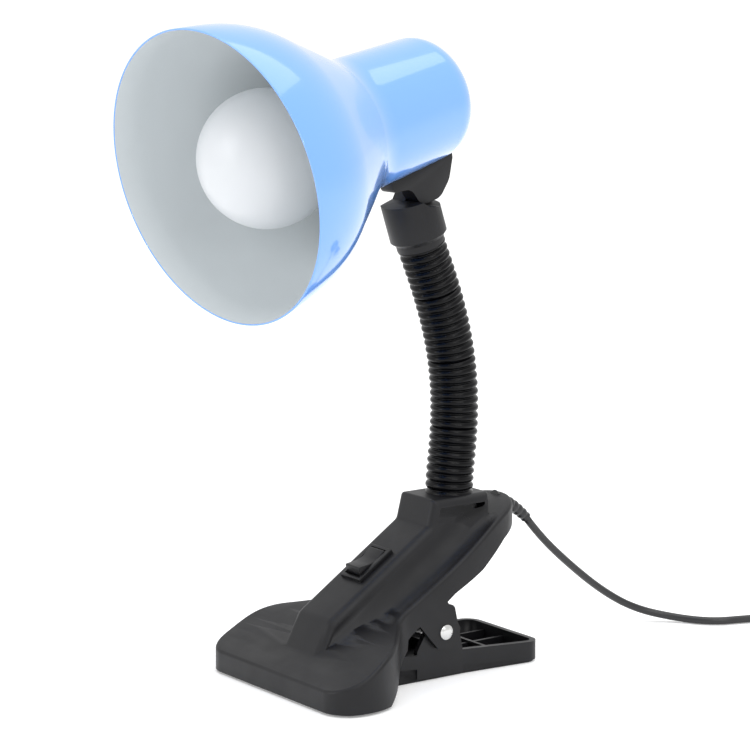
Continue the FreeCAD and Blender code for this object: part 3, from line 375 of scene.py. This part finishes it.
def hose_tree():
    """Corrugated tube along a Bezier segment, its radius rising and falling once for each rib."""
    tree = bpy.data.node_groups.new("corrugated_hose", "GeometryNodeTree")
    sockets = [("Start", "Vector"), ("Start Handle", "Vector"), ("End Handle", "Vector"), ("End", "Vector"),
               ("First Rib", "Float"), ("Ribs", "Float"), ("Start Radius", "Float"), ("End Radius", "Float"),
               ("Rib Depth", "Float"), ("Steps", "Int"), ("Sides", "Int"), ("Finish", "Material")]
    for name, kind in sockets:
        tree.interface.new_socket(name, in_out="INPUT", socket_type="NodeSocket" + kind)
    tree.interface.new_socket("Hose", in_out="OUTPUT", socket_type="NodeSocketGeometry")
    given = tree.nodes.new("NodeGroupInput").outputs
    line = add(tree, "GeometryNodeCurvePrimitiveBezierSegment",
               {"Resolution": 64, **{n: given[n] for n in ("Start", "Start Handle", "End Handle", "End")}})
    line = add(tree, "GeometryNodeResampleCurve", {"Curve": line, "Count": given["Steps"]})
    along = add(tree, "GeometryNodeSplineParameter")
    rib = maths(tree, "MULTIPLY_ADD", along, given["Ribs"])
    tree.links.new(given["First Rib"], rib.node.inputs[2])
    wave = maths(tree, "ABSOLUTE", maths(tree, "SINE", maths(tree, "MULTIPLY", rib, math.pi)))
    crest = maths(tree, "POWER", wave, 0.8)
    groove = maths(tree, "MULTIPLY", maths(tree, "SUBTRACT", 1.0, crest), given["Rib Depth"])
    taper = add(tree, "ShaderNodeMapRange",
                {"Value": along, "To Min": given["Start Radius"], "To Max": given["End Radius"]})
    radius = maths(tree, "SUBTRACT", taper, groove)
    line = add(tree, "GeometryNodeSetCurveRadius", {"Curve": line, "Radius": radius})
    ring = add(tree, "GeometryNodeCurvePrimitiveCircle", {"Resolution": given["Sides"], "Radius": 1.0})
    wires = {"Curve": line, "Profile Curve": ring, "Fill Caps": True}
    tube = tree.nodes.new("GeometryNodeCurveToMesh")
    for socket, source in wires.items():
        if isinstance(source, bool):
            tube.inputs[socket].default_value = source
        else:
            tree.links.new(source, tube.inputs[socket])
    if "Scale" in tube.inputs:
        tree.links.new(radius, tube.inputs["Scale"])
    tube = add(tree, "GeometryNodeSetShadeSmooth", {"Geometry": tube.outputs[0]})
    tube = add(tree, "GeometryNodeRealizeInstances", {"Geometry": tube})
    tube = add(tree, "GeometryNodeSetMaterial", {"Geometry": tube, "Material": given["Finish"]})
    tree.links.new(tube, tree.nodes.new("NodeGroupOutput").inputs[0])
    return tree


def grown(name, tree, slot, **inputs):
    """A piece grown by a node tree from its named inputs."""
    item = bpy.data.objects.new(name, bpy.data.meshes.new(name))
    bpy.context.scene.collection.objects.link(item)
    modifier = item.modifiers.new(name, "NODES")
    modifier.node_group = tree
    for socket in tree.interface.items_tree:
        if socket.in_out == "INPUT":
            modifier[socket.identifier] = inputs[socket.name.replace(" ", "_").lower()]
    mesh = baked(item)
    item.modifiers.clear()
    item.data = mesh
    return item


RIBS_PER_LINK = 4.5


def neck(paints):
    """Hose in one length per neck joint, each bending across its joint."""
    tree = hose_tree()
    places = [Vector(JOINTS[f"neck_bend_{k}"]["pos_m"]) for k in range(1, 9)]
    pitch = (places[1] - places[0]).length
    boss = Vector((places[0].x, places[0].y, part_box("clip_upper_shell")[1].z - 0.5 * MM))
    ways = [Vector((0, 0, 1))] + [(b - a).normalized() for a, b in zip(places, places[1:])]
    tip = Vector((0, -math.sin(COLLAR_LEAN), math.cos(COLLAR_LEAN)))
    ends = [boss] + [p + w * pitch / 2 for p, w in zip(places, ways[1:] + [tip])]
    ways.append(tip)
    for k in range(8):
        start, end = ends[k], ends[k + 1]
        reach = (end - start).length / 3
        ribs = RIBS_PER_LINK * (end - start).length / pitch if k == 0 else RIBS_PER_LINK
        stands_for = ["neck_foot", "neck_link_1"] if k == 0 else [f"neck_link_{k + 1}"] if k < 7 else []
        hose = grown(f"hose_{k + 1}", tree, "hose_plastic", start=start, start_handle=start + ways[k] * reach,
                     end_handle=end - ways[k + 1] * reach, end=end, first_rib=RIBS_PER_LINK * (k + 1) - ribs,
                     ribs=ribs, start_radius=HOSE_RADIUS, end_radius=HOSE_RADIUS, rib_depth=HOSE_RIB,
                     steps=64, sides=64, finish=paints["hose_plastic"])
        if stands_for:
            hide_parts(*stands_for)
        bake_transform(hose)
    return tree


def strain_relief(paints, tree):
    """Ribbed sleeve that bends down over the start of the cord."""
    line = [Vector(p) for p in RELIEF]
    sleeve = grown("ribbed_relief", tree, "cord_pvc", start=line[0], start_handle=line[1], end_handle=line[2],
                   end=line[3], first_rib=0.5, ribs=7.0, start_radius=3.5 * MM, end_radius=2.5 * MM,
                   rib_depth=0.45 * MM, steps=84, sides=32, finish=paints["cord_pvc"])
    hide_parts("strain_relief")
    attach(sleeve, "clip_upper")


# ---------------------------------------------------------------- supply cord

CORD_RADIUS = 1.8 * MM
CORD_ROUTE = [(0, 0.0782, 0.06075), (-0.001, 0.0865, 0.0515), (-0.0025, 0.103, 0.037), (-0.0055, 0.128, 0.0182),
              (-0.0035, 0.148, 0.0062), (0.009, 0.164, 0.0018), (0.025, 0.1735, 0.0018),
              (0.0305, 0.192, 0.0018),
              (0.04, 0.212, 0.0018), (0.058, 0.226, 0.0018), (0.078, 0.232, 0.0018)]
RELIEF = [(0, 0.059, 0.0729), (0, 0.0657, 0.0708), (0, 0.0727, 0.0662), (0, 0.078, 0.061)]
COIL_LAYERS, COIL_COLUMNS, COIL_MIDDLE = 4, 3, 20.0 * MM


def coil_points(heading, end):
    """Turns of the stored coil: each layer winds in or out, then climbs half a turn to the next."""
    per_turn = 16
    shrink = (3 + math.cos(math.tau / per_turn)) / 4
    half_band = CORD_RADIUS * COIL_COLUMNS
    outer = COIL_MIDDLE + half_band - CORD_RADIUS
    inner = COIL_MIDDLE - half_band + CORD_RADIUS
    entry = math.sqrt((COIL_MIDDLE + half_band) ** 2 - (outer - CORD_RADIUS) ** 2) + 0.2 * MM
    side = Vector((-heading.y, heading.x, 0))
    centre = end + heading * entry + side * outer
    points, turned = [], 0
    for layer in range(COIL_LAYERS):
        first, last = (outer, inner) if layer % 2 == 0 else (inner, outer)
        steps = 2 * per_turn
        for i in range(steps):
            points.append((turned + i, first + (last - first) * i / steps, layer))
        turned += steps
        if layer < COIL_LAYERS - 1:
            for i in range(per_turn // 2):
                points.append((turned + i, last, layer + i / (per_turn // 2)))
            turned += per_turn // 2
    points.append((turned, last, layer))
    placed = []
    for step, radius, layer in points:
        angle = math.tau * step / per_turn - math.pi / 2
        out = heading * math.cos(angle) + side * math.sin(angle)
        placed.append(centre + out * radius / shrink + Vector((0, 0, 2 * CORD_RADIUS * layer)))
    leaving = math.tau * turned / per_turn - math.pi / 2
    away = side * math.cos(leaving) - heading * math.sin(leaving)
    return placed, away


def spline_points(points, resolution=8):
    """Points along the smooth line that has these control points."""
    line = bpy.data.curves.new("cord_line", "CURVE")
    line.dimensions, line.resolution_u = "3D", resolution
    spline = line.splines.new("NURBS")
    spline.points.add(len(points) - 1)
    for point, place in zip(spline.points, points):
        point.co = (*place, 1)
    spline.order_u, spline.use_endpoint_u = 3, True
    holder = bpy.data.objects.new("cord_line", line)
    bpy.context.scene.collection.objects.link(holder)
    bpy.context.view_layer.update()
    mesh = bpy.data.meshes.new_from_object(holder)
    path = [v.co.copy() for v in mesh.vertices]
    bpy.data.objects.remove(holder)
    bpy.data.curves.remove(line)
    return path


def tube_along(name, path, radius, sides=16):
    """Closed round tube along a path, its rings carried forward without twist."""
    shape = bmesh.new()
    ahead = (path[1] - path[0]).normalized()
    across = ahead.orthogonal().normalized()
    rings = []
    for i, place in enumerate(path):
        now = (path[min(i + 1, len(path) - 1)] - path[max(i - 1, 0)]).normalized()
        across = (ahead.rotation_difference(now) @ across).normalized()
        up = now.cross(across)
        rings.append([shape.verts.new(place + (across * math.cos(t) + up * math.sin(t)) * radius)
                      for t in (math.tau * s / sides for s in range(sides))])
        ahead = now
    for below, above in zip(rings, rings[1:]):
        for i in range(sides):
            j = (i + 1) % sides
            shape.faces.new((below[i], below[j], above[j], above[i])).smooth = True
    shape.faces.new(rings[0][::-1])
    shape.faces.new(rings[-1])
    bmesh.ops.recalc_face_normals(shape, faces=shape.faces)
    mesh = bpy.data.meshes.new(name)
    shape.to_mesh(mesh)
    shape.free()
    return mesh


def cord(paints):
    """Cord from the strain relief down to the table, into its stored coil and on to the plug."""
    route = [Vector(p) for p in CORD_ROUTE]
    heading = (route[-1] - route[-2]).normalized()
    turns, away = coil_points(heading, route[-1])
    low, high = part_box("plug_body")
    tail = turns[-1] + away * 30 * MM
    tail.z = (low.z + high.z) / 2
    lead = [turns[-1] + away * 8 * MM, turns[-1] + away * 18 * MM + Vector((0, 0, -2.5 * MM)), tail]
    path = spline_points(route + turns + lead)
    item = piece("supply_cord", tube_along("supply_cord", path, CORD_RADIUS), paints["cord_pvc"],
                 ("cord_tube", "cord_coil"))
    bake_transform(item)


# ---------------------------------------------------------------- clip and the rest

def clip_and_fittings(paints):
    """Every CAD node whose shape is right, with its finish and soft edges."""
    black = paints["black_plastic"]
    soft = [("clip_upper_shell", "black_plastic", 0.0), ("clip_lower_shell", "black_plastic", 0.0),
            ("collar", "black_plastic", 0.0003), ("knuckle_cheek", "black_plastic", 0.0004),
            ("switch_body", "switch_plastic", 0.0), ("switch_rocker", "switch_plastic", 0.0003),
            ("hinge_pin", "bright_steel", 0.0), ("knuckle_bolt", "bright_steel", 0.0),
            ("plug_body", "black_plastic", 0.0015)]
    bodies = frame["record"]["behaviour"]["bodies"]
    home = {node: body for body, nodes in bodies.items() for node in nodes}
    for node, slot, edge in soft:
        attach(dressed(node, paints[slot], edge), home[node])
    slots = {row["node"]: row["material_slot"] for row in frame["record"]["subparts"]}
    for node, item in NODES.items():
        item.data.materials.clear()
        item.data.materials.append(paints[slots[node]])


def floor():
    mesh = bpy.data.meshes.new("floor")
    half = 14.0
    corners = [(-half, -half, 0), (half, -half, 0), (half, half, 0), (-half, half, 0)]
    mesh.from_pydata(corners, [], [(0, 1, 2, 3)])
    ground = bpy.data.objects.new("floor", mesh)
    bpy.context.scene.collection.objects.link(ground)
    mesh.materials.append(finish("pale_floor", (0.86, 0.86, 0.86), 0.95, Emission_Color=(1, 1, 1, 1),
                                 Emission_Strength=0.22))
    ground.location.z = -0.0002


camera()
studio()
floor()
paints = finishes()
clip_and_fittings(paints)
cord(paints)
strain_relief(paints, neck(paints))
shade(paints)
bulb(paints)
